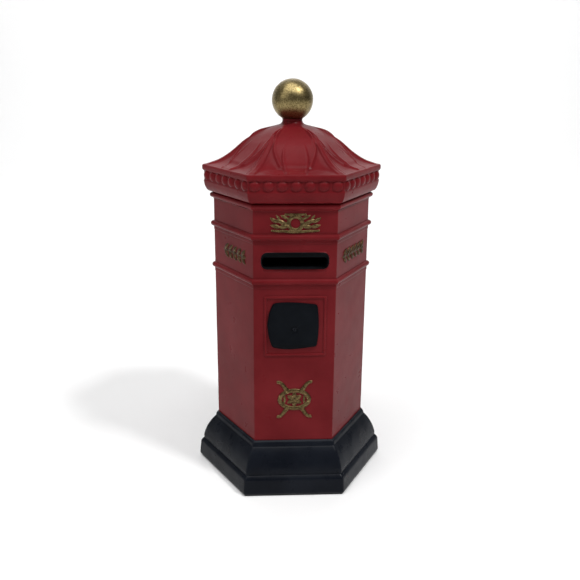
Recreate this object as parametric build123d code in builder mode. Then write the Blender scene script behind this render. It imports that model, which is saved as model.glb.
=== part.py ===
"""Tin money box in the shape of a hexagonal pillar post box, in millimetres.

The origin is the middle of the underside, +Z is up and the front wall faces -Y.
The six walls stand with their corners on the X axis, so the front wall is square to -Y.
Widths of the mouldings are given across the flats, as the distance from the axis to a wall.
"""

import os
from math import sqrt

from build123d import *

# ---------------------------------------------------------------- driving dimensions
total_height = 200.0
ball_radius = 9.96
felt_thickness = 0.8

wall = 33.6  # axis to the outside of a wall, across the flats
wall_thickness = 1.8
fit_gap = 0.2  # clearance round a piece that is set inside another
lid_gap = 0.35  # clearance round the roof's spigot

plinth_foot = 43.0  # axis to the foot of the plinth
plinth_top_z = 26.4
shell_foot_z = 5.8
shell_top_z = 146.0
eaves_z = 159.6
crown_z = 178.4
neck_top_z = 181.3

slot_width = 31.8
slot_height = 8.1
slot_z = 119.0
coin_gap = 4.8  # height of the passage that a coin goes through

panel_width = 29.6
panel_height = 30.2
panel_z = 86.8

coin_hole_radius = 18.0
screw_circle = 32.2
screw_turns = (60, 180, 300)

# ---------------------------------------------------------------- derived dimensions
ball_z = total_height - ball_radius
inner_wall = wall - wall_thickness
hex_reach = 60.0  # half length of the slabs that are crossed into a hexagon
face_turns = (30, 90, 150)


# ---------------------------------------------------------------- helpers
def outward(turn):
    """Level unit vector at an angle from +X."""
    return Vector(1, 0, 0).rotate(Axis.Z, turn)


def section_plane(turn):
    """Upright plane through the axis, with its x axis out through the middle of a wall."""
    out = outward(turn)
    return Plane(origin=(0, 0, 0), x_dir=out, z_dir=out.cross(Vector(0, 0, 1)))


def wall_plane(turn):
    """Plane on the outside of a wall: x along the wall, y up, z outward."""
    out = outward(turn)
    return Plane(origin=out * wall, x_dir=Vector(0, 0, 1).cross(out), z_dir=out)


def spot(plane, along, height):
    """A wall's plane with its origin moved to a place on that wall."""
    place = plane.from_local_coords((along, height, 0))
    return Plane(origin=place, x_dir=plane.x_dir, z_dir=plane.z_dir)


def hexagonal(half_outline):
    """A solid that is a regular hexagon at every level.

    half_outline draws the right half of its section across the flats, from the axis
    at the bottom to the axis at the top.
    """
    with BuildPart() as solid:
        for turn in face_turns:
            with BuildSketch(section_plane(turn)):
                with BuildLine():
                    half_outline()
                    mirror(about=Plane.YZ)
                make_face()
            first = turn == face_turns[0]
            extrude(amount=hex_reach, both=True, mode=Mode.ADD if first else Mode.INTERSECT)
    return solid.part


def hex_prism(apothem, low, high):
    """A plain hexagonal bar between two levels."""
    with BuildPart() as bar:
        with BuildSketch(Plane.XY.offset(low)):
            RegularPolygon(apothem, 6, major_radius=False)
        extrude(amount=high - low)
    return bar.part


front = wall_plane(-90)
left_side = wall_plane(210)
right_side = wall_plane(-30)
written = []


def save(block, name):
    """Label a finished piece and write its STEP file."""
    block.part.label = name
    export_step(block.part, f"parts/{name}.step")
    written.append(name)


os.makedirs("parts", exist_ok=True)


# ---------------------------------------------------------------- plinth
fascia_top = 42.3
groove = 40.9
rim = 35.3


def plinth_outline():
    Polyline((0, felt_thickness), (plinth_foot, felt_thickness), (fascia_top, 8.8))
    ThreePointArc((fascia_top, 8.8), (fascia_top - 0.3, 9.7), (fascia_top - 1.1, 10.2))
    Polyline((fascia_top - 1.1, 10.2), (groove - 0.4, 10.6), (groove, 11.7))
    ThreePointArc((groove, 11.7), (38.9, 17.8), (rim, 23.8))
    Polyline((rim, 23.8), (34.9, 25.2), (wall + 0.25, plinth_top_z), (0, plinth_top_z))


base_recess = 38.0  # half width of the pocket that the base plate lies in
flange = 35.8  # half width of the shell's foot flange
flange_top_z = 7.8

plinth_body = hexagonal(plinth_outline)
plinth_cuts = [
    hex_prism(base_recess, 0, shell_foot_z),
    hex_prism(flange + fit_gap, shell_foot_z, flange_top_z),
    hex_prism(wall + 0.1, flange_top_z, plinth_top_z + 1),
]

with BuildPart() as plinth:
    add(plinth_body)
    for cut in plinth_cuts:
        add(cut, mode=Mode.SUBTRACT)
save(plinth, "plinth")

# ---------------------------------------------------------------- felt ring under the plinth
with BuildPart() as felt_ring:
    with BuildSketch():
        RegularPolygon(plinth_foot - 0.8, 6, major_radius=False)
        RegularPolygon(base_recess + 0.6, 6, major_radius=False, mode=Mode.SUBTRACT)
        fillet(vertices(), radius=1.0)
    extrude(amount=felt_thickness)
save(felt_ring, "felt_ring")

# ---------------------------------------------------------------- base plate and its screws
plate_thickness = 2.0
plate_z = shell_foot_z - plate_thickness
boss_radius = 3.2
boss_height = 11.0
screw_radius = 1.35
screw_head_radius = 2.8
screw_places = [outward(turn) * screw_circle for turn in screw_turns]

with BuildPart() as base_plate:
    with BuildSketch(Plane.XY.offset(plate_z)):
        RegularPolygon(base_recess - fit_gap, 6, major_radius=False)
        Circle(coin_hole_radius, mode=Mode.SUBTRACT)
    extrude(amount=plate_thickness)
    underside = Plane(origin=(0, 0, plate_z), x_dir=(1, 0, 0), z_dir=(0, 0, -1))
    with Locations(underside):
        with Locations([(place.X, -place.Y) for place in screw_places]):
            CounterSinkHole(screw_radius + 0.2, screw_head_radius + 0.1, plate_thickness)
save(base_plate, "base_plate")

screw_length = 9.0
head_depth = screw_head_radius - screw_radius

with BuildPart() as one_screw:
    with BuildSketch(Plane.XZ):
        with BuildLine():
            Polyline(
                (0, plate_z),
                (screw_head_radius, plate_z),
                (screw_radius, plate_z + head_depth),
                (screw_radius, plate_z + screw_length - 1.5),
                (0.3, plate_z + screw_length),
                (0, plate_z + screw_length),
                close=True,
            )
        make_face()
    revolve(axis=Axis.Z)
    with Locations((0, 0, plate_z)):
        Box(3.4, 0.8, 1.6, mode=Mode.SUBTRACT)
        Box(0.8, 3.4, 1.6, mode=Mode.SUBTRACT)

with BuildPart() as base_screws:
    with Locations(screw_places):
        add(one_screw.part)
save(base_screws, "base_screws")

# ---------------------------------------------------------------- coin stopper
stopper_flange = 21.5
stopper_wall = 1.8
plug_radius = coin_hole_radius - fit_gap
plug_top_z = 9.4
stopper_floor_z = plate_z - 1.6

with BuildPart() as coin_stopper:
    with BuildSketch(Plane.XZ):
        with BuildLine():
            Polyline(
                (0, stopper_floor_z),
                (stopper_flange - 0.6, stopper_floor_z),
                (stopper_flange, stopper_floor_z + 0.6),
                (stopper_flange, plate_z),
                (plug_radius - 0.3, plate_z),
                (plug_radius - 0.3, plug_top_z - 2.4),
                (plug_radius, plug_top_z - 1.8),
                (plug_radius - 0.9, plug_top_z),
                (plug_radius - stopper_wall, plug_top_z),
                (plug_radius - stopper_wall, plate_z),
                (0, plate_z),
                close=True,
            )
        make_face()
    revolve(axis=Axis.Z)
    with BuildSketch(Plane.XY.offset(stopper_floor_z)):
        SlotOverall(26, 3.2)
    extrude(amount=-1.2)
    fillet(coin_stopper.faces().sort_by(Axis.Z)[0].edges(), radius=0.4)
save(coin_stopper, "coin_stopper")

# ---------------------------------------------------------------- body shell
bead_rise = 1.5
bead_drop = 1.5
fillet_proud = 0.2
# each moulding: level of its crest, distance of the crest from the axis, depth of its fillet
mouldings = (
    (108.9, 34.9, 3.3),
    (130.2, 35.1, 3.1),
    (144.3, 35.3, 2.2),
)


def shell_outline():
    """The wall with a bead and a narrow fillet under it at each moulding."""
    step = wall + fillet_proud
    Polyline((0, shell_foot_z), (flange, shell_foot_z), (flange, flange_top_z), (wall, flange_top_z))
    start = flange_top_z
    for level, crest, drop in mouldings:
        foot = level - drop
        Polyline((wall, start), (wall, foot), (step, foot + 0.3), (step, level - bead_drop))
        start = level + bead_rise
        ThreePointArc((step, level - bead_drop), (crest, level), (wall, start))
    Polyline((wall, start), (wall, shell_top_z), (0, shell_top_z))


shell_body = hexagonal(shell_outline)
shell_hollow = hex_prism(inner_wall, shell_foot_z, shell_top_z)
panel_bead = 1.2

with BuildPart() as body_shell:
    add(shell_body)
    add(shell_hollow, mode=Mode.SUBTRACT)
    # bosses in three corners, joined to the walls by a web
    with BuildSketch(Plane.XY.offset(shell_foot_z)):
        with Locations(screw_places):
            Circle(boss_radius)
        for turn in screw_turns:
            with Locations(Location(outward(turn) * (screw_circle + 2.2), (0, 0, turn))):
                Rectangle(4.4, 2.4)
    extrude(amount=boss_height)
    with Locations([Location((p.X, p.Y, shell_foot_z), (180, 0, 0)) for p in screw_places]):
        Hole(screw_radius + 0.05, depth=boss_height - 2)
    # letter slot
    with BuildSketch(front.offset(-5)):
        with Locations((0, slot_z)):
            RectangleRounded(slot_width + 0.2, slot_height + 0.2, 3.3)
    extrude(amount=10, mode=Mode.SUBTRACT)
    # raised frame of the door panel
    with BuildSketch(front):
        with Locations((0, panel_z)):
            Rectangle(panel_width, panel_height)
            Rectangle(
                panel_width - 2 * panel_bead, panel_height - 2 * panel_bead, mode=Mode.SUBTRACT
            )
    extrude(amount=0.5)
    frame_face = body_shell.faces().filter_by(Plane.XZ).sort_by(Axis.Y)[0]
    chamfer(frame_face.edges(), length=0.3)
save(body_shell, "body_shell")

# ---------------------------------------------------------------- slot liner
lip_depth = 1.6  # how far the black face lies behind the wall
passage_z = slot_z - slot_height / 2 + 0.55 + coin_gap / 2
passage_width = slot_width - 1.2
liner_depth = 9.0

with BuildPart() as slot_liner:
    with BuildSketch(front.offset(-0.1)):
        with Locations((0, slot_z)):
            RectangleRounded(slot_width, slot_height, 3.2)
    extrude(amount=-(liner_depth - 0.1))
    with BuildSketch(front.offset(-wall_thickness)):
        with Locations((0, slot_z)):
            RectangleRounded(slot_width + 4.6, slot_height + 5, 3.2)
    extrude(amount=-1.4)
    with BuildSketch(front.offset(0.5)):
        with Locations((0, slot_z)):
            RectangleRounded(slot_width - 0.9, slot_height - 0.9, 2.8)
    extrude(amount=-(lip_depth + 0.5), mode=Mode.SUBTRACT)
    with BuildSketch(front.offset(0.5)):
        with Locations((0, passage_z)):
            RectangleRounded(passage_width, coin_gap, 1.6)
    extrude(amount=-(liner_depth + 2), mode=Mode.SUBTRACT)
save(slot_liner, "slot_liner")

# ---------------------------------------------------------------- notice plate and its rivet
notice_thickness = 1.3
rivet_z = 85.4

with BuildPart() as notice_plate:
    with BuildSketch(front):
        with BuildLine():
            ThreePointArc((-9.9, 98.3), (0.5, 98.9), (10.9, 98.0))
            ThreePointArc((10.9, 98.0), (11.9, 87.5), (11.0, 77.0))
            ThreePointArc((11.0, 77.0), (0.5, 75.2), (-9.6, 76.2))
            ThreePointArc((-9.6, 76.2), (-12.8, 87.2), (-9.9, 98.3))
        make_face()
        fillet(vertices(), radius=1.4)
    extrude(amount=notice_thickness)
    outer_edge = notice_plate.faces().sort_by(Axis.Y)[0].edges()
    fillet(outer_edge, radius=0.5)
    with BuildSketch(front):
        with Locations((0, rivet_z)):
            Circle(0.9)
    extrude(amount=notice_thickness, mode=Mode.SUBTRACT)
save(notice_plate, "notice_plate")

with BuildPart() as notice_rivet:
    with BuildSketch(front):
        with Locations((0, rivet_z)):
            Circle(0.85)
    extrude(amount=notice_thickness - 0.1)
    with BuildSketch(front.offset(notice_thickness - 0.7)):
        with Locations((0, rivet_z)):
            Circle(0.5)
    extrude(amount=1, mode=Mode.SUBTRACT)
save(notice_rivet, "notice_rivet")

# ---------------------------------------------------------------- gilt badges
badge_thickness = 0.8


def leaf(along, height, angle, length, width):
    """A pointed oval leaf, turned about its middle."""
    with Locations(Location((along, height, 0), (0, 0, angle))):
        Ellipse(length / 2, width / 2)


# oval cartouche with four scroll arms, low on the front wall
scroll_radius = 4.4
scroll_centre = (9.2, 4.9)
bud_radius = 1.15

with BuildPart() as lower_badge:
    with BuildSketch(spot(front, 0.1, 48.5)):
        Ellipse(8.3, 5.9)
        Ellipse(6.7, 4.4, mode=Mode.SUBTRACT)
        Rectangle(14.5, 1.2)
        Rectangle(1.2, 10.5)
        leaf(0, 0, 45, 6.4, 2.2)
        leaf(0, 0, 135, 6.4, 2.2)
        for side in (-1, 1):
            for rise in (-1, 1):
                with Locations((side * 3.9, rise * 5.6)):
                    Circle(1.0)
                with Locations((side * 5.2, rise * 7.2)):
                    Circle(0.9)
                with Locations((side * 6.9, rise * 8.7)):
                    Circle(bud_radius)
                leaf(side * 4.6, rise * 6.4, side * rise * 48, 4.6, 1.5)
                leaf(side * 6.2, rise * 8.0, side * rise * 38, 3.4, 1.4)
    extrude(amount=badge_thickness)
save(lower_badge, "lower_badge")

# ring medallion between two leaf sprays, above the slot
with BuildPart() as crest_badge:
    with BuildSketch(spot(front, 0, 136.9)):
        Circle(3.9)
        leaf(4.8, -1.9, -8, 6.8, 2.1)
        leaf(8.5, -1.5, 12, 6.6, 2.2)
        leaf(6.6, 1.0, 28, 7.4, 2.1)
        leaf(9.8, 1.8, 40, 4.4, 1.7)
        leaf(4.4, 3.1, 20, 5.0, 1.5)
        leaf(2.8, -3.5, -14, 6.6, 1.4)
        leaf(7.4, -3.4, 16, 6.0, 1.4)
        mirror(about=Plane.YZ)
        Circle(2.1, mode=Mode.SUBTRACT)
    extrude(amount=badge_thickness)
save(crest_badge, "crest_badge")


def frieze(plane, length, pairs):
    """A laurel stem with pairs of leaves, lying along a side wall."""
    pitch = length / (pairs + 0.5)
    with BuildPart() as stem:
        with BuildSketch(plane):
            Rectangle(length - 2.5, 1.0)
            for index in range(pairs):
                middle = -length / 2 + pitch * (index + 0.95)
                leaf(middle, 1.65, 42, 5.2, 2.0)
                leaf(middle, -1.65, -42, 5.2, 2.0)
            leaf(length / 2 - 2.0, 0, 0, 4.0, 1.9)
        extrude(amount=badge_thickness)
    return stem


frieze_z = 119.1
left_frieze = frieze(spot(left_side, 1.1, frieze_z), 22.6, 5)
save(left_frieze, "left_frieze")
right_frieze = frieze(spot(right_side, 0, frieze_z), 27.4, 6)
save(right_frieze, "right_frieze")

# ---------------------------------------------------------------- roof
spigot = inner_wall - lid_gap
spigot_foot_z = 141.0
cornice = 38.0
crown_under_z = 175.9


def roof_outline():
    Polyline((0, spigot_foot_z), (spigot, spigot_foot_z), (spigot, shell_top_z), (34.9, shell_top_z))
    ThreePointArc((34.9, shell_top_z), (37.0, 148.8), (37.7, 152.4))
    Polyline((37.7, 152.4), (cornice, eaves_z - 0.9), (cornice - 0.7, eaves_z))
    Spline(
        (cornice - 0.7, eaves_z),
        (31.2, 161.7),
        (25.0, 166.4),
        (18.3, 172.6),
        (12.0, 176.5),
        (6.6, crown_z),
    )
    Line((6.6, crown_z), (0, crown_z))


def roof_hollow_outline():
    inside = spigot - wall_thickness
    Polyline((0, spigot_foot_z), (inside, spigot_foot_z), (inside, 148.4), (35.0, 151.6), (35.3, 157.4))
    Spline((35.3, 157.4), (29.6, 159.6), (22.9, 164.8), (16.5, 170.8), (11.0, 174.6), (7.0, crown_under_z))
    Line((7.0, crown_under_z), (0, crown_under_z))


roof_body = hexagonal(roof_outline)
roof_hollow = hexagonal(roof_hollow_outline)
pearls_per_side = 7
pearl_pitch = 2 * cornice / sqrt(3) / pearls_per_side
pearl_radius = 3.5
pearl_sink = 2.3
pearl_z = 155.0
stud_radius = 2.0

with BuildPart() as roof_cap:
    add(roof_body)
    for turn in range(30, 390, 60):
        row = Plane(
            origin=outward(turn) * (cornice - pearl_sink) + Vector(0, 0, pearl_z),
            x_dir=outward(turn + 90),
            z_dir=outward(turn),
        )
        with Locations(row):
            with GridLocations(pearl_pitch, 1, pearls_per_side, 1):
                Sphere(pearl_radius)
    add(roof_hollow, mode=Mode.SUBTRACT)
    # round neck under the ball
    with BuildSketch(Plane.XZ):
        with BuildLine():
            Polyline((0, crown_under_z), (7.5, crown_under_z), (7.5, crown_z - 0.1))
            ThreePointArc((7.5, crown_z - 0.1), (5.1, crown_z + 0.6), (4.4, 180.1))
            Polyline((4.4, 180.1), (4.7, neck_top_z), (0, neck_top_z), (0, crown_under_z))
        make_face()
    revolve(axis=Axis.Z)
    with Locations((0, 0, neck_top_z)):
        Hole(stud_radius + 0.2, depth=neck_top_z - crown_under_z + 1)
save(roof_cap, "roof_cap")

# ---------------------------------------------------------------- ball finial and its fixing
stud_top_z = 188.5
stud_foot_z = 168.5
washer_thickness = 0.8
nut_height = 3.2

with BuildPart() as ball_finial:
    with Locations((0, 0, ball_z)):
        Sphere(ball_radius)
    split(bisect_by=Plane.XY.offset(neck_top_z), keep=Keep.TOP)
    with Locations(Location((0, 0, neck_top_z), (180, 0, 0))):
        Hole(stud_radius + 0.05, depth=stud_top_z - neck_top_z + 0.8)
save(ball_finial, "ball_finial")

with BuildPart() as finial_stud:
    with BuildSketch(Plane.XY.offset(stud_foot_z)):
        Circle(stud_radius)
    extrude(amount=stud_top_z - stud_foot_z)
    chamfer(finial_stud.edges().group_by(Axis.Z)[0], length=0.4)
    chamfer(finial_stud.edges().group_by(Axis.Z)[-1], length=0.4)
save(finial_stud, "finial_stud")

with BuildPart() as finial_washer:
    with BuildSketch(Plane.XY.offset(crown_under_z - washer_thickness)):
        Circle(4.5)
        Circle(stud_radius + 0.15, mode=Mode.SUBTRACT)
    extrude(amount=washer_thickness)
save(finial_washer, "finial_washer")

with BuildPart() as finial_nut:
    with BuildSketch(Plane.XY.offset(crown_under_z - washer_thickness - nut_height)):
        RegularPolygon(3.5, 6, major_radius=False)
        Circle(stud_radius + 0.05, mode=Mode.SUBTRACT)
    extrude(amount=nut_height)
save(finial_nut, "finial_nut")

print(len(written), "pieces:", ", ".join(written))
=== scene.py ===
from math import cos, pi, radians, sin, tan

import bpy
import numpy as np
from mathutils import Matrix, Vector, noise


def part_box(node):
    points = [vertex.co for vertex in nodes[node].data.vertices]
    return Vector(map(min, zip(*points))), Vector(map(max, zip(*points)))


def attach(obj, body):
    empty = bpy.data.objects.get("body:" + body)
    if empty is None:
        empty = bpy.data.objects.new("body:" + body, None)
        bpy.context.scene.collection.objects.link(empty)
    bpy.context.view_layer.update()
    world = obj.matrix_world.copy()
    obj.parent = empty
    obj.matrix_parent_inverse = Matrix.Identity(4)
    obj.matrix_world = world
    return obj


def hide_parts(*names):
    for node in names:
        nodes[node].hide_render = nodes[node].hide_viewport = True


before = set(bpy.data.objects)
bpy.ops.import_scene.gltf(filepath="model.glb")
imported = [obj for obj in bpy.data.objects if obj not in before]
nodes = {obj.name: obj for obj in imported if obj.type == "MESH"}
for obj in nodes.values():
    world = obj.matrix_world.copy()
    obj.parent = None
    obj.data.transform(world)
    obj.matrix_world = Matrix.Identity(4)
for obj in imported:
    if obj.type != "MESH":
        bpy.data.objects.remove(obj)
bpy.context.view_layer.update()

# All lengths below are in millimetres until a mesh is made; MM turns them into metres.
MM = 0.001
TAN30 = tan(radians(30))
FACE_TURNS = (-90, -30, 30, 90, 150, 210)  # outward direction of each wall, from the front one


def box_mm(node):
    """The lowest and highest corners of a CAD node, in millimetres."""
    low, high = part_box(node)
    return low / MM, high / MM


plinth_low, plinth_high = box_mm("plinth")
shell_low, shell_high = box_mm("body_shell")
roof_low, roof_high = box_mm("roof_cap")
ball_low, ball_high = box_mm("ball_finial")
liner_low, liner_high = box_mm("slot_liner")
notice_low = box_mm("notice_plate")[0]
rivet_low, rivet_high = box_mm("notice_rivet")
crest_low, crest_high = box_mm("crest_badge")
lower_low, lower_high = box_mm("lower_badge")

WALL = -crest_high.y  # axis to the outside of a wall
WALL_INSIDE = WALL - 1.8  # axis to the inside of a wall
FLOOR_TOP = 7.8  # level of the plinth's ledge, where the walls start


# ------------------------------------------------------------------ small geometry tools
def smooth_step(start, end, value):
    """0 up to start, 1 from end on, and an S curve between them."""
    t = np.clip((value - start) / (end - start), 0, 1)
    return t * t * (3 - 2 * t)


def catmull(points, steps):
    """A smooth line through points, with the given number of steps between two of them."""
    pts = np.array(points, float)
    padded = np.vstack([2 * pts[0] - pts[1], pts, 2 * pts[-1] - pts[-2]])
    out = []
    for k in range(1, len(padded) - 2):
        a, b, c, d = padded[k - 1 : k + 3]
        for t in np.arange(steps) / steps:
            out.append(0.5 * (2 * b + (c - a) * t + (2 * a - 5 * b + 4 * c - d) * t**2
                              + (3 * b - a - 3 * c + d) * t**3))
    out.append(pts[-1])
    return out


def soften(points, radius, steps=4):
    """A closed outline with each of its corners rounded by about the given radius."""
    pts = [np.array(p, float) for p in points]
    out = []
    for k, corner in enumerate(pts):
        back = pts[k - 1] - corner
        ahead = pts[(k + 1) % len(pts)] - corner
        start = corner + back * min(radius / max(np.linalg.norm(back), 1e-9), 0.45)
        end = corner + ahead * min(radius / max(np.linalg.norm(ahead), 1e-9), 0.45)
        for t in np.linspace(0, 1, steps):
            out.append((1 - t) ** 2 * start + 2 * t * (1 - t) * corner + t**2 * end)
    return out


def divided(points, longest, closed=True):
    """The same outline with no run longer than the given length."""
    out = []
    count = len(points) if closed else len(points) - 1
    for k in range(count):
        a = np.array(points[k], float)
        b = np.array(points[(k + 1) % len(points)], float)
        parts = max(1, int(np.ceil(np.linalg.norm(b - a) / longest)))
        out += [a + (b - a) * i / parts for i in range(parts)]
    if not closed:
        out.append(np.array(points[-1], float))
    return out


def new_object(name, vertices, faces, smooth=True):
    """A mesh object from millimetre vertices."""
    mesh = bpy.data.meshes.new(name)
    mesh.from_pydata([tuple(v) for v in np.asarray(vertices, float) * MM], [], faces)
    mesh.validate()
    mesh.update()
    if smooth:
        mesh.shade_smooth()
    obj = bpy.data.objects.new(name, mesh)
    bpy.context.scene.collection.objects.link(obj)
    return obj


def grid_faces(rings, around, closed_rings=True):
    """Quads between rings of points; the last ring meets the first when closed_rings."""
    faces = []
    for j in range(rings if closed_rings else rings - 1):
        k = (j + 1) % rings
        for i in range(around):
            n = (i + 1) % around
            faces.append((j * around + i, j * around + n, k * around + n, k * around + i))
    return faces


def unevenness(points, scale, amount):
    """A small random height at each point, the same on every run."""
    return np.array([noise.fractal(Vector(p) * scale, 0.9, 2.0, 3) for p in points]) * amount


def grid_normals(grid):
    """Outward normals of a grid of points [ring, around, xyz] that closes both ways."""
    along = np.roll(grid, -1, axis=1) - np.roll(grid, 1, axis=1)
    across = np.roll(grid, -1, axis=0) - np.roll(grid, 1, axis=0)
    normal = np.cross(along, across)
    return normal / np.maximum(np.linalg.norm(normal, axis=2, keepdims=True), 1e-9)


# ------------------------------------------------------------------ six-sided mesh pieces
CORNER_STEPS = 4


def hexagon_ring(apothem, corner, samples):
    """One level of a piece: six flats joined by rounded corners.

    Gives the points and each point's place along its own flat, 0 in the middle.
    """
    corner = min(corner, 0.6 * apothem)
    flat = (apothem - corner) * TAN30
    points = []
    places = []
    for turn in FACE_TURNS:
        a = radians(turn)
        out = np.array((cos(a), sin(a)))
        along = np.array((-sin(a), cos(a)))
        for s in samples:
            points.append(out * apothem + along * flat * s)
            places.append(flat * s)
        towards_corner = np.array((cos(a + pi / 6), sin(a + pi / 6)))
        centre = (apothem - corner) / cos(radians(30)) * towards_corner
        for step in range(1, CORNER_STEPS + 1):
            b = a + radians(60) * step / (CORNER_STEPS + 1)
            points.append(centre + corner * np.array((cos(b), sin(b))))
            places.append((apothem * TAN30) * (1 if step <= CORNER_STEPS / 2 else -1))
    return np.array(points), np.array(places)


def hexagon_piece(name, outline, per_side, corner, bumps, relief=None):
    """A closed six-sided mesh.

    outline is a closed section of (apothem, level, roundness) points: roundness 0 is a
    hexagon and 1 a circle. bumps holds the scale and the height of a random unevenness.
    relief(places, apothems, levels) gives heights in millimetres.
    """
    guard = 0.985  # a column of points close to each corner keeps the flats flat
    samples = np.unique(np.r_[np.linspace(-1, 1, per_side), -guard, guard])
    around = 6 * (len(samples) + CORNER_STEPS)
    circle = -pi / 2 - pi / 6 + np.linspace(0, 2 * pi, around, endpoint=False) + pi / around
    grid = np.zeros((len(outline), around, 3))
    places = np.zeros((len(outline), around))
    for j, (apothem, level, roundness) in enumerate(outline):
        ring, along = hexagon_ring(apothem, corner, samples)
        turned = np.stack([np.cos(circle), np.sin(circle)], axis=1) * apothem
        grid[j, :, :2] = ring * (1 - roundness) + turned * roundness
        grid[j, :, 2] = level
        places[j] = along
    scale, amount = bumps
    height = unevenness(grid.reshape(-1, 3), scale, amount).reshape(grid.shape[:2])
    if relief:
        section = np.array(outline, float)
        height = height + relief(places, section[:, :1], section[:, 1:2])
    grid = grid + grid_normals(grid) * height[:, :, None]
    return new_object(name, grid.reshape(-1, 3), grid_faces(len(outline), around))


def angular(points):
    """The same section with roundness 0, so that the piece is a true hexagon."""
    return [(p[0], p[1], 0.0) for p in points]


# ------------------------------------------------------------------ plinth
def make_plinth():
    """The black foot: upright edge, short slope, ovolo and a fillet against the walls."""
    foot = -plinth_low.y
    low = plinth_low.z
    top = plinth_high.z
    hole = WALL + 0.15
    pocket = 36.0
    base_recess = 38.0
    recess_top = 5.8
    ovolo = [(40.9, 12.0), (40.5, 14.0), (39.6, 16.7), (38.3, 19.4), (37.1, 21.4), (35.6, 23.3)]
    outline = soften([(foot, low), (42.35, 8.9), (41.3, 10.2), (40.6, 10.8)], 0.7)[4:]
    outline = [(foot - 0.9, low), (foot - 0.25, low + 0.2), (foot, low + 0.9)] + outline
    outline += catmull(ovolo, 4)
    outline += [(35.25, 23.5), (35.15, 23.7), (34.95, 25.0), (34.8, 25.3), (34.1, top)]
    outline += [(hole, top), (hole, FLOOR_TOP), (pocket, FLOOR_TOP), (pocket, recess_top),
                (base_recess, recess_top), (base_recess, low)]
    piece = hexagon_piece("plinth_moulding", angular(divided(outline, 1.6)), 25, corner=1.3,
                          bumps=(0.16, 0.09))
    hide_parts("plinth")
    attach(piece, "root")
    return piece


# ------------------------------------------------------------------ pillar
# each moulding: its level, axis to its crest, and how far its fillet reaches down
MOULDINGS = ((108.9, 34.9, 3.3), (130.2, 35.1, 3.1), (144.5, 35.3, 2.0))
MOULDING_HALF = 1.35
FILLET = WALL + 0.16  # axis to the flat fillet under each moulding
FLANGE = 35.8
FRAME_WIDTH = 29.6
FRAME_HEIGHT = 30.2
FRAME_X = 0.35
FRAME_Z = 86.8


def slot_cutter():
    """A bar with the outline of the slot liner's opening, to cut the front wall."""
    half_width = 31.9 / 2
    half_height = 8.2 / 2
    reach = 5
    level = (liner_low.z + liner_high.z) / 2
    corners = [(half_width, half_height), (-half_width, half_height),
               (-half_width, -half_height), (half_width, -half_height)]
    outline = soften(corners, 3.4, 9)
    vertices = [(x, y, level + z) for y in (-WALL - reach, -WALL + reach) for x, z in outline]
    count = len(outline)
    faces = grid_faces(2, count, closed_rings=False)
    faces += [tuple(range(count)), tuple(range(2 * count - 1, count - 1, -1))]
    return new_object("slot_cutter", vertices, faces, smooth=False)


def frame_bead():
    """The raised square bead round the door panel: vertices and faces of a mitred loop."""
    bead_half = 0.62
    bead_rise = 0.6
    sunk = 0.4
    half_w = FRAME_WIDTH / 2 - bead_rise
    half_h = FRAME_HEIGHT / 2 - bead_rise
    path = soften([(half_w, half_h), (-half_w, half_h), (-half_w, -half_h), (half_w, -half_h)],
                  0.5, 5)
    section = []
    for a in np.linspace(0, pi, 9):
        squareness = max(abs(cos(a)), abs(sin(a))) ** 0.5
        section.append((bead_half * cos(a) / squareness, bead_rise * sin(a) / squareness))
    section += [(-bead_half, -sunk), (bead_half, -sunk)]
    vertices = []
    for aside, out in section:
        scale_x = (half_w + aside) / half_w
        scale_z = (half_h + aside) / half_h
        vertices += [(FRAME_X + x * scale_x, -WALL - out, FRAME_Z + z * scale_z) for x, z in path]
    return vertices, grid_faces(len(section), len(path))


def moulding_outline(level, crest, drop):
    """The flat fillet and the half round over it, with extra rows that keep both crisp."""
    foot = level - drop
    root = WALL + 0.2
    points = [(WALL, foot - 0.2), (WALL, foot), (FILLET, foot + 0.06), (FILLET, foot + 0.25),
              (FILLET, level - 1.8), (FILLET, level - 1.5)]
    for degrees in range(-85, 84, 24):
        a = radians(degrees)
        points.append((root + (crest - root) * cos(a), level + MOULDING_HALF * sin(a)))
    return points + [(WALL, level + 1.42), (WALL, level + 1.7)]


def make_pillar():
    """The six walls with their mouldings, the slot and the door panel's frame."""
    outline = [(FLANGE, shell_low.z), (FLANGE, FLOOR_TOP), (WALL, FLOOR_TOP)]
    for level, crest, drop in MOULDINGS:
        outline += moulding_outline(level, crest, drop)
    top = shell_high.z
    outline += [(WALL, top - 0.05), (WALL - 0.1, top), (WALL_INSIDE, top),
                (WALL_INSIDE, shell_low.z)]
    shell = hexagon_piece("pillar_shell", angular(divided(outline, 3.0)), 25, corner=0.5,
                          bumps=(0.07, 0.05))
    cutter = slot_cutter()
    cut = shell.modifiers.new("slot", "BOOLEAN")
    cut.object = cutter
    cut.solver = "EXACT"
    mesh = bpy.data.meshes.new_from_object(
        shell.evaluated_get(bpy.context.evaluated_depsgraph_get()))
    shell.modifiers.clear()
    shell.data = mesh
    bpy.data.objects.remove(cutter)
    vertices, faces = frame_bead()
    bead = new_object("frame_bead", vertices, faces)
    joined(shell, [bead])
    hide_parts("body_shell")
    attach(shell, "root")
    return shell


def joined(obj, others):
    """Adds the meshes of other objects to obj."""
    with bpy.context.temp_override(active_object=obj, selected_editable_objects=[obj] + others):
        bpy.ops.object.join()


# ------------------------------------------------------------------ roof
OGEE = [(37.35, 159.6), (33.3, 160.75), (29.2, 163.0), (25.0, 166.4), (20.6, 170.7),
        (16.0, 174.1), (12.0, 176.3), (9.9, 177.3), (8.1, 178.0)]
EAVES = 159.55
CROWN = 178.4  # top of the six-sided slope, where the round neck starts
PEARLS = 7
PEARL_Z = 154.3
PEARL_RADIUS = 2.3
PEARL_RISE = 1.15
FASCIA = 37.6  # axis to the middle of the pearl row's ground
FASCIA_LEVELS = (151.5, 157.4)


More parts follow.
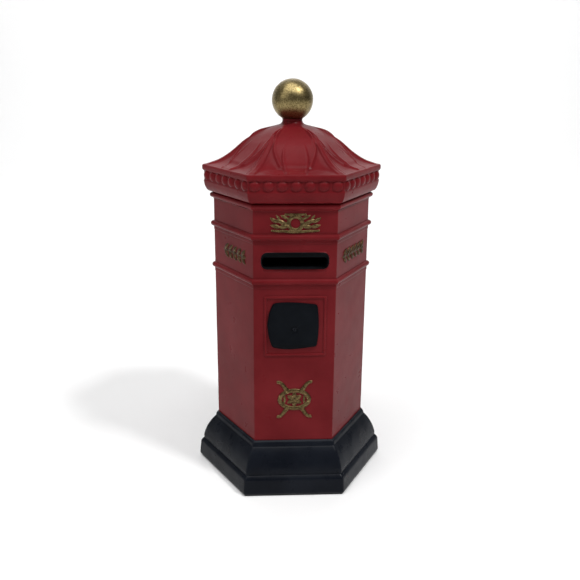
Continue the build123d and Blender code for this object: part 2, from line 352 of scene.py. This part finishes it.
def raised(inside, lift, rim, edge=0.45):
    """A leaf's height by the distance inside its edge: a flat top with a raised rim."""
    plateau = smooth_step(-edge, edge, inside) * lift
    return plateau + rim * np.exp(-((inside - 0.55) / 0.5) ** 2)


def leaf_relief(places, apothems, levels):
    """Heights of the carved leaves and of the row of pearls on the roof's outside."""
    width = apothems * TAN30
    along = np.abs(places)
    # the broad leaf that hangs from the neck and closes low on the slope
    leaf_edge = np.interp(levels, (161.0, 161.9, 163.8, 165.8, 169.0, 174.5, 177.8),
                          (4.5, 7.2, 8.2, 9.2, 10.1, 8.7, 5.2))
    fade = smooth_step(161.0, 162.2, levels) * smooth_step(178.3, 175.0, levels)
    leaf = raised(leaf_edge - along, 0.5, 0.3) * fade
    # its midrib, which runs on down to the eaves
    rib_edge = np.interp(levels, (159.2, 161.5, 164.8, 168.5, 171.5), (4.1, 5.5, 6.1, 5.6, 4.4))
    fade = smooth_step(172.5, 164.0, levels) * smooth_step(159.3, 160.0, levels)
    rib = raised(rib_edge - along, 0.45, 0.22, 0.4) * fade
    # the narrow leaf along each hip
    from_hip = width - along
    hip_edge = np.interp(levels, (159.2, 160.6, 166.0, 174.0, 178.2), (3.0, 2.4, 1.9, 1.5, 0.6))
    fade = smooth_step(178.2, 174.5, levels) * smooth_step(159.3, 160.4, levels)
    hip = raised(hip_edge - from_hip, 0.35, 0.22, 0.4) * fade
    # the hollow between them
    hollow = smooth_step(0.1, 2.4, along - leaf_edge) * smooth_step(0.1, 2.4, from_hip - hip_edge)
    hollow = hollow * smooth_step(159.6, 161.5, levels)
    on_roof = (levels > EAVES) & (levels < CROWN)
    crown = smooth_step(178.2, 174.5, levels)
    height = np.where(on_roof, leaf + rib + hip - (0.3 * hollow + 0.25) * crown, 0)
    # pearls on the fascia
    side = 2 * FASCIA * TAN30
    pitch = side / PEARLS
    offset = (places + side / 2) % pitch - pitch / 2
    reach = np.hypot(offset, levels - PEARL_Z) / PEARL_RADIUS
    dome = np.sqrt(np.clip(1 - reach**2, 0, 1)) * PEARL_RISE
    lowest, highest = FASCIA_LEVELS
    on_fascia = (levels > lowest) & (levels < highest) & (apothems > FASCIA - 0.6)
    return height + np.where(on_fascia, dome, 0)


def make_roof():
    """The hollow roof: spigot, cornice with pearls, carved slope and round neck."""
    spigot = WALL_INSIDE - 0.35
    low = roof_low.z
    outside = [(spigot, low), (spigot, shell_high.z), (34.3, shell_high.z + 0.1)]
    cove = catmull([(34.9, 146.2), (36.2, 146.9), (37.2, 148.9), (37.65, 151.2)], 5)
    fascia = [(37.65, 151.6), (37.4, 152.2), (37.4, 156.3), (37.9, 156.7), (38.2, 157.3),
              (38.2, 158.7), (37.95, 159.3), OGEE[0]]
    slope = catmull(OGEE, 9)
    rows = divided(outside, 2.5, closed=False) + cove
    rows += divided(fascia, 0.33, closed=False) + slope[1:]
    section = [(a, z, 0.5 * float(smooth_step(170.5, 178.0, z))) for a, z in rows]
    neck = catmull([slope[-1], (6.5, 178.5), (5.5, 179.1), (4.95, 179.9), (4.8, 180.6),
                    (4.95, roof_high.z)], 3)[1:]
    for k, (radius, level) in enumerate(neck):
        section.append((radius, level, min(1.0, 0.55 + 0.15 * k)))
    stud_hole = 2.3
    section += [(stud_hole, roof_high.z, 1.0), (stud_hole, 176.0, 1.0), (7.0, 175.9, 0.6)]
    spigot_inside = 29.65
    hollow = [(11.0, 174.6), (16.5, 170.8), (22.9, 164.6), (29.6, 159.4), (35.0, 157.0),
              (34.8, 151.6), (spigot_inside, 148.4), (spigot_inside, low)]
    section += angular(hollow)
    piece = hexagon_piece("roof_casting", section, 85, corner=0.55, relief=leaf_relief,
                          bumps=(0.15, 0.03))
    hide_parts("roof_cap")
    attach(piece, "roof")
    return piece


# ------------------------------------------------------------------ ball
def make_ball():
    """A turned ball with a flat seat and faint dents, made as a lathe grid."""
    radius = (ball_high.x - ball_low.x) / 2
    centre = ball_high.z - radius
    seat = ball_low.z
    start = np.arccos(np.clip((centre - seat) / radius, -1, 1)) - pi / 2
    around = 96
    levels = np.linspace(start, pi / 2 - 0.02, 60)
    vertices = [(0, 0, seat)]
    for a in levels:
        for i in range(around):
            b = 2 * pi * i / around
            vertices.append((radius * cos(a) * cos(b), radius * cos(a) * sin(b),
                             centre + radius * sin(a)))
    vertices.append((0, 0, centre + radius))
    vertices = np.array(vertices, float)
    outward = vertices - np.array((0, 0, centre))
    outward /= np.linalg.norm(outward, axis=1, keepdims=True)
    vertices += outward * (unevenness(vertices, 0.22, 0.07) - 0.05)[:, None]
    last = len(vertices) - 1
    faces = []
    for j in range(len(levels) - 1):
        for i in range(around):
            n = (i + 1) % around
            a = 1 + j * around
            faces.append((a + i, a + n, a + around + n, a + around + i))
    for i in range(around):
        n = (i + 1) % around
        faces.append((0, 1 + n, 1 + i))
        faces.append((last, last - around + i, last - around + n))
    piece = new_object("brass_ball", vertices, faces)
    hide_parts("ball_finial")
    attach(piece, "roof")
    return piece


# ------------------------------------------------------------------ notice plate
def make_notice_plate():
    """A crowned black plate with uneven sides and a dimple where its rivet sits."""
    corners = [(10.8, 97.7), (-10.3, 98.4), (-10.7, 76.2), (10.7, 76.7)]
    bulges = [(-1.5, 98.9), (-13.0, 88.0), (-1.6, 75.0), (11.6, 87.0)]
    foot_low = 75.4
    foot_high = 77.3
    outline = []
    for k, (corner, bulge) in enumerate(zip(corners, bulges)):
        outline.append(corner)
        start = np.array(corner)
        end = np.array(corners[(k + 1) % 4])
        control = 2 * np.array(bulge) - (start + end) / 2
        for t in (0.25, 0.5, 0.75):
            outline.append(start * (1 - t) ** 2 + end * t**2 + control * 2 * t * (1 - t))
    outline = divided(soften(outline, 1.3, 5), 0.5)
    rivet = np.array((0.0, (rivet_low.z + rivet_high.z) / 2))
    thickness = -notice_low.y - WALL
    # each ring of points: its scale about the rivet and its height in plate thicknesses
    rings = ((1.0, -0.2), (1.0, 0.62), (0.995, 0.82), (0.985, 0.94), (0.965, 1.0), (0.93, 1.02),
             (0.8, 1.03), (0.6, 1.02), (0.4, 1.0), (0.2, 0.99))
    vertices = []
    for scale, rise in rings:
        for p in outline:
            x, z = rivet + (np.array(p) - rivet) * scale
            wave = noise.noise(Vector((x, z, 3.0)) * 0.28) * 0.12 if rise > 0.9 else 0
            sloped = 0.1 + 0.9 * smooth_step(foot_low, foot_high, z) if rise > 0 else 1
            vertices.append((x, -WALL - (thickness * rise + wave) * sloped, z))
    dimple = ((1.35, 0.95), (0.95, 0.82), (0.9, 0.0))
    for radius, rise in dimple:
        for p in outline:
            d = np.array(p) - rivet
            x, z = rivet + d / np.linalg.norm(d) * radius
            vertices.append((x, -WALL - thickness * rise, z))
    faces = grid_faces(len(rings) + len(dimple), len(outline), closed_rings=False)
    piece = new_object("notice_panel", vertices, [f[::-1] for f in faces])
    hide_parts("notice_plate")
    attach(piece, "root")
    return piece


# ------------------------------------------------------------------ gilt badges
def wall_matrix(turn, along, level):
    """Places a badge's own x (along), y (up), z (outward) on a wall, in metres."""
    a = radians(turn)
    out = Vector((cos(a), sin(a), 0))
    side = Vector((-sin(a), cos(a), 0))
    place = (out * WALL + side * along + Vector((0, 0, level))) * MM
    basis = Matrix((side, Vector((0, 0, 1)), out)).transposed().to_4x4()
    return Matrix.Translation(place) @ basis


def badge(name, node, strokes, matrix, rise=0.62):
    """A cast badge: tapered strokes melted into one softened mesh on the wall.

    Each stroke is a list of (x, y, half width) points.
    """
    curve = bpy.data.curves.new(name, "CURVE")
    curve.dimensions = "3D"
    curve.bevel_depth = MM
    curve.bevel_resolution = 3
    curve.use_fill_caps = True
    for stroke in strokes:
        spline = curve.splines.new("NURBS")
        spline.points.add(len(stroke) - 1)
        for point, (x, y, half_width) in zip(spline.points, stroke):
            point.co = (x * MM, y * MM, 0, 1)
            point.radius = half_width
        spline.order_u = min(4, len(stroke))
        spline.use_endpoint_u = True
        spline.resolution_u = 6
    holder = bpy.data.objects.new(name + "_strokes", curve)
    bpy.context.scene.collection.objects.link(holder)
    bpy.context.view_layer.update()
    mesh = bpy.data.meshes.new_from_object(
        holder.evaluated_get(bpy.context.evaluated_depsgraph_get()))
    bpy.data.objects.remove(holder)
    piece = bpy.data.objects.new(name, mesh)
    bpy.context.scene.collection.objects.link(piece)
    melt = piece.modifiers.new("melt", "REMESH")
    melt.mode = "VOXEL"
    melt.voxel_size = 0.17 * MM
    even = piece.modifiers.new("even", "SMOOTH")
    even.factor = 0.6
    even.iterations = 3
    bpy.context.view_layer.update()
    mesh = bpy.data.meshes.new_from_object(
        piece.evaluated_get(bpy.context.evaluated_depsgraph_get()))
    piece.modifiers.clear()
    piece.data = mesh
    mesh.transform(matrix @ Matrix.Diagonal((1, 1, rise, 1)))
    mesh.shade_smooth()
    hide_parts(node)
    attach(piece, "root")
    return piece


def leaf_stroke(x, y, angle, length, half_width):
    """A pointed leaf as one stroke that swells and narrows."""
    a = radians(angle)
    swell = ((-0.5, 0.12), (-0.3, 0.75), (-0.02, 1.15), (0.25, 0.85), (0.5, 0.08))
    return [(x + cos(a) * length * t, y + sin(a) * length * t, half_width * w) for t, w in swell]


def mirrored(strokes):
    """The same strokes on the left of the badge's middle."""
    return [[(-x, y, w) for x, y, w in stroke] for stroke in strokes]


def ring_strokes(cy, rx, ry, half_width):
    """An oval ring as two half turns that overlap a little."""
    strokes = []
    for start in (0, 180):
        turns = np.radians(np.linspace(start, start + 190, 12))
        strokes.append([(rx * cos(a), cy + ry * sin(a), half_width) for a in turns])
    return strokes


def make_lower_badge():
    """An oval cartouche with a six-petalled rosette and four scrolled arms."""
    petal_reach = 2.3
    strokes = ring_strokes(0, 7.3, 4.8, 1.1)
    for turn in range(30, 390, 60):
        a = radians(turn)
        strokes.append(leaf_stroke(petal_reach * cos(a), petal_reach * sin(a), turn, 3.5, 1.15))
    strokes.append([(-0.5, 0, 1.0), (0, 0, 1.3), (0.5, 0, 1.0)])
    strokes += [leaf_stroke(side * 4.8, 0, 90, 4.6, 0.7) for side in (-1, 1)]
    for rise in (-1, 1):
        arm = [[(2.6, rise * 3.9, 1.3), (4.0, rise * 5.2, 1.15), (5.2, rise * 7.2, 0.95),
                (6.3, rise * 8.7, 0.85), (7.6, rise * 9.5, 0.85), (8.6, rise * 9.2, 0.8)]]
        strokes += arm + mirrored(arm)
    level = (lower_low.z + lower_high.z) / 2
    return badge("gilt_cartouche", "lower_badge", strokes, wall_matrix(-90, 0.25, level))


def make_crest_badge():
    """A ring medallion between two sprays of leaves."""
    strokes = ring_strokes(0.1, 3.2, 3.2, 0.95)
    half = [leaf_stroke(5.4, -1.5, -6, 5.4, 1.1), leaf_stroke(9.1, -1.3, 12, 5.2, 1.05),
            leaf_stroke(6.4, 0.7, 22, 6.2, 1.05), leaf_stroke(9.9, 1.5, 34, 4.4, 0.95),
            leaf_stroke(4.9, 2.9, 26, 4.4, 0.8), leaf_stroke(8.0, 2.9, 48, 3.0, 0.6),
            [(0, -4.0, 0.65), (3.0, -4.0, 0.7), (6.0, -3.2, 0.65), (8.6, -3.7, 0.65),
             (11.2, -3.2, 0.45)],
            [(0.0, 4.0, 0.6), (1.8, 4.3, 0.6), (3.4, 3.9, 0.6), (5.0, 4.4, 0.4)]]
    strokes += half + mirrored(half)
    level = (crest_low.z + crest_high.z) / 2
    return badge("gilt_medallion", "crest_badge", strokes, wall_matrix(-90, 0, level), rise=0.75)


def make_frieze(name, node, turn, along, length, pairs):
    """A laurel stem with pairs of leaves along a side wall."""
    pitch = length / (pairs + 0.5)
    strokes = [[(-length / 2 + 0.8, 0, 0.45), (0, 0, 0.55), (length / 2 - 1.5, 0, 0.45)]]
    for index in range(pairs):
        x = -length / 2 + pitch * (index + 0.95)
        strokes += [leaf_stroke(x, side * 1.8, side * 42, 5.4, 1.1) for side in (1, -1)]
    strokes.append(leaf_stroke(length / 2 - 1.8, 0, 0, 3.8, 1.0))
    low, high = box_mm(node)
    return badge(name, node, strokes, wall_matrix(turn, along, (low.z + high.z) / 2), rise=0.8)


# ------------------------------------------------------------------ materials
class Shader:
    """A Principled material and short ways to feed it."""

    def __init__(self, name, base, roughness, metallic=0.0):
        self.material = bpy.data.materials.new(name)
        self.material.use_nodes = True
        self.nodes = self.material.node_tree.nodes
        self.links = self.material.node_tree.links
        self.bsdf = self.nodes["Principled BSDF"]
        self.bsdf.inputs["Base Color"].default_value = (*base, 1)
        self.bsdf.inputs["Roughness"].default_value = roughness
        self.bsdf.inputs["Metallic"].default_value = metallic
        self.coords = self.nodes.new("ShaderNodeTexCoord").outputs["Object"]

    def noise(self, size_mm, detail=3.0, roughness=0.5, stretch=None):
        """A cloudy value with patches of about the given size."""
        node = self.nodes.new("ShaderNodeTexNoise")
        node.inputs["Scale"].default_value = 1000 / size_mm
        node.inputs["Detail"].default_value = detail
        node.inputs["Roughness"].default_value = roughness
        source = self.coords
        if stretch:
            mapping = self.nodes.new("ShaderNodeMapping")
            mapping.inputs["Scale"].default_value = stretch
            self.links.new(source, mapping.inputs["Vector"])
            source = mapping.outputs["Vector"]
        self.links.new(source, node.inputs["Vector"])
        return node.outputs["Fac"]

    def spread(self, value, low, high, out_low=0.0, out_high=1.0):
        """Maps low..high to out_low..out_high and holds what lies outside."""
        node = self.nodes.new("ShaderNodeMapRange")
        for key, number in (("From Min", low), ("From Max", high),
                            ("To Min", out_low), ("To Max", out_high)):
            node.inputs[key].default_value = number
        self.links.new(value, node.inputs["Value"])
        return node.outputs["Result"]

    def mix(self, factor, first, second):
        """Between two colours, each a tuple or another node's output."""
        node = self.nodes.new("ShaderNodeMix")
        node.data_type = "RGBA"
        colour_a, colour_b, colour_out = 6, 7, 2  # socket numbers of a colour mix
        for key, colour in ((colour_a, first), (colour_b, second)):
            if isinstance(colour, tuple):
                node.inputs[key].default_value = (*colour, 1)
            else:
                self.links.new(colour, node.inputs[key])
        self.links.new(factor, node.inputs[0])
        return node.outputs[colour_out]

    def edges(self, low, high):
        """0 at the pointiness low, 1 at high: flats have 0.5, hollows less, ridges more."""
        node = self.nodes.new("ShaderNodeNewGeometry")
        return self.spread(node.outputs["Pointiness"], low, high)

    def bump(self, height, depth_mm, under=None):
        node = self.nodes.new("ShaderNodeBump")
        node.inputs["Strength"].default_value = 1.0
        node.inputs["Distance"].default_value = depth_mm * MM
        self.links.new(height, node.inputs["Height"])
        if under:
            self.links.new(under, node.inputs["Normal"])
        return node.outputs["Normal"]

    def feed(self, socket, value):
        self.links.new(value, self.bsdf.inputs[socket])


def satin_paint(name, dark, light, edge, roughness, grain=0.03, specular=0.2):
    """Enamel on cast metal: cloudy colour, a painted highlight on ridges and painted shade in
    creases, with a faint orange peel.
    """
    s = Shader(name, light, sum(roughness) / 2)
    cloud = s.spread(s.noise(26, 4, 0.6), 0.32, 0.68)
    colour = s.mix(cloud, dark, light)
    # painted highlight: the edge colour is laid on ridges and crests, where light catches them
    colour = s.mix(s.edges(0.53, 0.68), colour, edge)
    # painted shade: a darker copy of the dark colour is laid in creases and recesses, where shadow
    # falls
    hollow = tuple(c * 0.6 for c in dark)
    colour = s.mix(s.edges(0.49, 0.43), colour, hollow)
    s.feed("Base Color", colour)
    s.feed("Roughness", s.spread(s.noise(7, 5, 0.65), 0.3, 0.7, *roughness))
    s.feed("Normal", s.bump(s.noise(1.7, 3, 0.5), grain))
    s.bsdf.inputs["Specular IOR Level"].default_value = specular
    s.bsdf.inputs["IOR"].default_value = 1.28
    return s.material


def antique_metal(name, dark, light, roughness, size_mm, grain):
    """Darkened metal, brighter where it is rubbed, with fine crossing scratches."""
    s = Shader(name, light, sum(roughness) / 2, metallic=1.0)
    patch = s.spread(s.noise(size_mm, 6, 0.72), 0.36, 0.64)
    rub = s.spread(s.noise(size_mm * 0.22, 4, 0.7, (1.0, 3.2, 1.6)), 0.35, 0.7)
    colour = s.mix(patch, dark, light)
    shade = tuple(c * 0.45 for c in dark)
    colour = s.mix(rub, s.mix(patch, shade, dark), colour)
    bright = tuple(min(1.0, c * 1.25) for c in light)
    colour = s.mix(s.edges(0.52, 0.62), colour, bright)
    s.feed("Base Color", colour)
    s.feed("Roughness", s.spread(s.noise(size_mm * 0.4, 5, 0.7), 0.3, 0.7, *roughness))
    scratch = s.bump(s.noise(0.9, 4, 0.7, (1.0, 4.0, 2.0)), grain)
    s.feed("Normal", s.bump(s.noise(0.5, 3, 0.6, (3.5, 1.0, 1.4)), grain * 0.8, under=scratch))
    return s.material


def moulded_plastic(name, dark, light, roughness, grain):
    """Dull plastic with a fine moulded grain."""
    s = Shader(name, dark, sum(roughness) / 2)
    s.feed("Base Color", s.mix(s.spread(s.noise(5, 4, 0.6), 0.35, 0.7), dark, light))
    s.feed("Roughness", s.spread(s.noise(3, 3, 0.6), 0.3, 0.7, *roughness))
    s.feed("Normal", s.bump(s.noise(0.4, 2, 0.5), grain))
    s.bsdf.inputs["Specular IOR Level"].default_value = 0.06
    return s.material


def felt_cloth(name):
    """Black felt with short fibres."""
    dark = (0.012, 0.012, 0.013)
    light = (0.05, 0.05, 0.052)
    s = Shader(name, (0.02, 0.02, 0.02), 0.95)
    fibre = s.noise(0.5, 5, 0.8, (1.0, 1.0, 3.0))
    s.feed("Base Color", s.mix(s.spread(fibre, 0.3, 0.7), dark, light))
    s.feed("Roughness", s.spread(fibre, 0.3, 0.7, 0.85, 1.0))
    s.feed("Normal", s.bump(fibre, 0.2))
    return s.material


def dress(obj, material, edge_mm=0.0):
    """Gives an object one material and, when edge_mm is over 0, softens its sharp edges."""
    obj.data.materials.clear()
    obj.data.materials.append(material)
    if edge_mm:
        weld = obj.modifiers.new("weld", "WELD")
        weld.merge_threshold = 0.002 * MM
        bevel = obj.modifiers.new("bevel", "BEVEL")
        bevel.width = edge_mm * MM
        bevel.segments = 2
        bevel.limit_method = "ANGLE"
        bevel.angle_limit = radians(35)
        bevel.harden_normals = False


# ------------------------------------------------------------------ stage, light and camera
def make_stage():
    """A pale floor that sweeps up into a backdrop."""
    half = 3000
    rise_at = 900
    bend = 500
    section = [(-half, 0), (rise_at, 0)]
    for a in np.radians(np.linspace(9, 81, 9)):
        section.append((rise_at + bend * sin(a), bend - bend * cos(a)))
    section += [(rise_at + bend, bend), (rise_at + bend, half)]
    vertices = [(x, y, z) for y, z in section for x in (-half, half)]
    faces = [(2 * k, 2 * k + 1, 2 * k + 3, 2 * k + 2) for k in range(len(section) - 1)]
    floor = new_object("floor", vertices, faces)
    s = Shader("pale_floor", (0.82, 0.82, 0.82), 0.7)
    s.feed("Roughness", s.spread(s.noise(60), 0.3, 0.7, 0.6, 0.8))
    s.bsdf.inputs["Emission Color"].default_value = (1, 1, 1, 1)
    s.bsdf.inputs["Emission Strength"].default_value = 0.11
    floor.data.materials.append(s.material)


def area_light(name, place, target, size, power):
    """A white soft light, placed and aimed in metres."""
    data = bpy.data.lights.new(name, "AREA")
    data.shape = "RECTANGLE"
    data.size, data.size_y = size
    data.energy = power
    obj = bpy.data.objects.new(name, data)
    obj.location = place
    obj.rotation_euler = (Vector(target) - Vector(place)).to_track_quat("-Z", "Y").to_euler()
    bpy.context.scene.collection.objects.link(obj)


def make_lights():
    """A small key from the upper right, two soft panels and one light for the backdrop."""
    world = bpy.data.worlds.new("studio")
    world.use_nodes = True
    background = world.node_tree.nodes["Background"]
    background.inputs["Color"].default_value = (1, 1, 1, 1)
    background.inputs["Strength"].default_value = 0.06
    bpy.context.scene.world = world
    middle = (0, 0, 0.12)
    area_light("key_right", (0.5, -0.42, 1.0), middle, (0.14, 0.14), 7.0)
    area_light("left_panel", (-0.95, -0.7, 0.7), middle, (0.8, 0.8), 2.8)
    area_light("top_panel", (-0.2, -0.3, 1.35), (0, 0, 0), (1.0, 1.0), 12)
    area_light("back_panel", (0.2, 0.5, 1.4), (0, 3, 0.5), (2.0, 1.0), 18)


def make_camera():
    """Stands about 0.36 m in front, slightly above and a little to the left."""
    place = (-0.01938, -0.35916, 0.20588)
    looks_down = 17.20
    looks_right = 3.006
    leans = 0.44
    data = bpy.data.cameras.new("camera")
    data.lens = 45.09
    data.sensor_width = 36
    data.clip_start = 0.01
    obj = bpy.data.objects.new("camera", data)
    turn = Matrix.Rotation(radians(-looks_right), 4, "Z")
    tilt = Matrix.Rotation(radians(90 - looks_down), 4, "X")
    roll = Matrix.Rotation(radians(leans), 4, "Z")
    obj.matrix_world = Matrix.Translation(place) @ turn @ tilt @ roll
    bpy.context.scene.collection.objects.link(obj)
    bpy.context.scene.camera = obj


# ------------------------------------------------------------------ the whole scene
bpy.context.scene.view_settings.view_transform = "Standard"
make_stage()
make_lights()
make_camera()

# each edge colour below is a painted highlight that satin_paint lays on ridges
red = satin_paint("red_enamel", dark=(0.114, 0.0065, 0.009), light=(0.163, 0.0125, 0.016),
                  edge=(0.24, 0.03, 0.03), roughness=(0.26, 0.38), grain=0.012, specular=0.165)
notice_black = satin_paint("notice_black", dark=(0.002, 0.0025, 0.004), light=(0.005, 0.0065, 0.009),
                           edge=(0.015, 0.017, 0.02), roughness=(0.4, 0.55), specular=0.12)
black = satin_paint("black_enamel", dark=(0.004, 0.005, 0.008), light=(0.009, 0.011, 0.016),
                    edge=(0.04, 0.045, 0.055), roughness=(0.24, 0.36))
gold = antique_metal("antique_gold", dark=(0.07, 0.045, 0.02), light=(0.40, 0.29, 0.13),
                     roughness=(0.3, 0.5), size_mm=1.3, grain=0.04)
worn_gold = antique_metal("worn_gold", dark=(0.05, 0.03, 0.016), light=(0.24, 0.155, 0.08),
                          roughness=(0.42, 0.6), size_mm=1.3, grain=0.04)
brass = antique_metal("antique_brass", dark=(0.16, 0.117, 0.044), light=(0.71, 0.57, 0.275),
                      roughness=(0.28, 0.42), size_mm=0.7, grain=0.05)
steel = antique_metal("zinc_plate", dark=(0.25, 0.25, 0.26), light=(0.6, 0.6, 0.6),
                      roughness=(0.3, 0.45), size_mm=2.0, grain=0.01)
plastic = moulded_plastic("slot_plastic", dark=(0.002, 0.0023, 0.003), light=(0.006, 0.007, 0.009),
                          roughness=(0.5, 0.65), grain=0.02)
soft = moulded_plastic("stopper_plastic", dark=(0.015, 0.015, 0.016), light=(0.03, 0.03, 0.031),
                       roughness=(0.5, 0.7), grain=0.03)
felt = felt_cloth("black_felt")

dress(make_plinth(), black)
dress(make_pillar(), red)
dress(make_roof(), red)
dress(make_ball(), brass)
dress(make_notice_plate(), notice_black)
dress(make_lower_badge(), gold)
dress(make_crest_badge(), gold)
dress(make_frieze("gilt_laurel_left", "left_frieze", 210, 1.1, 22.6, 5), worn_gold)
dress(make_frieze("gilt_laurel_right", "right_frieze", -30, 0, 27.4, 6), worn_gold)

dress(nodes["slot_liner"], plastic, edge_mm=0.25)
dress(nodes["coin_stopper"], soft, edge_mm=0.2)
dress(nodes["base_plate"], black, edge_mm=0.2)
dress(nodes["felt_ring"], felt)
dress(nodes["notice_rivet"], black, edge_mm=0.1)
for name in ("base_screws", "finial_stud", "finial_washer", "finial_nut"):
    dress(nodes[name], steel, edge_mm=0.1)
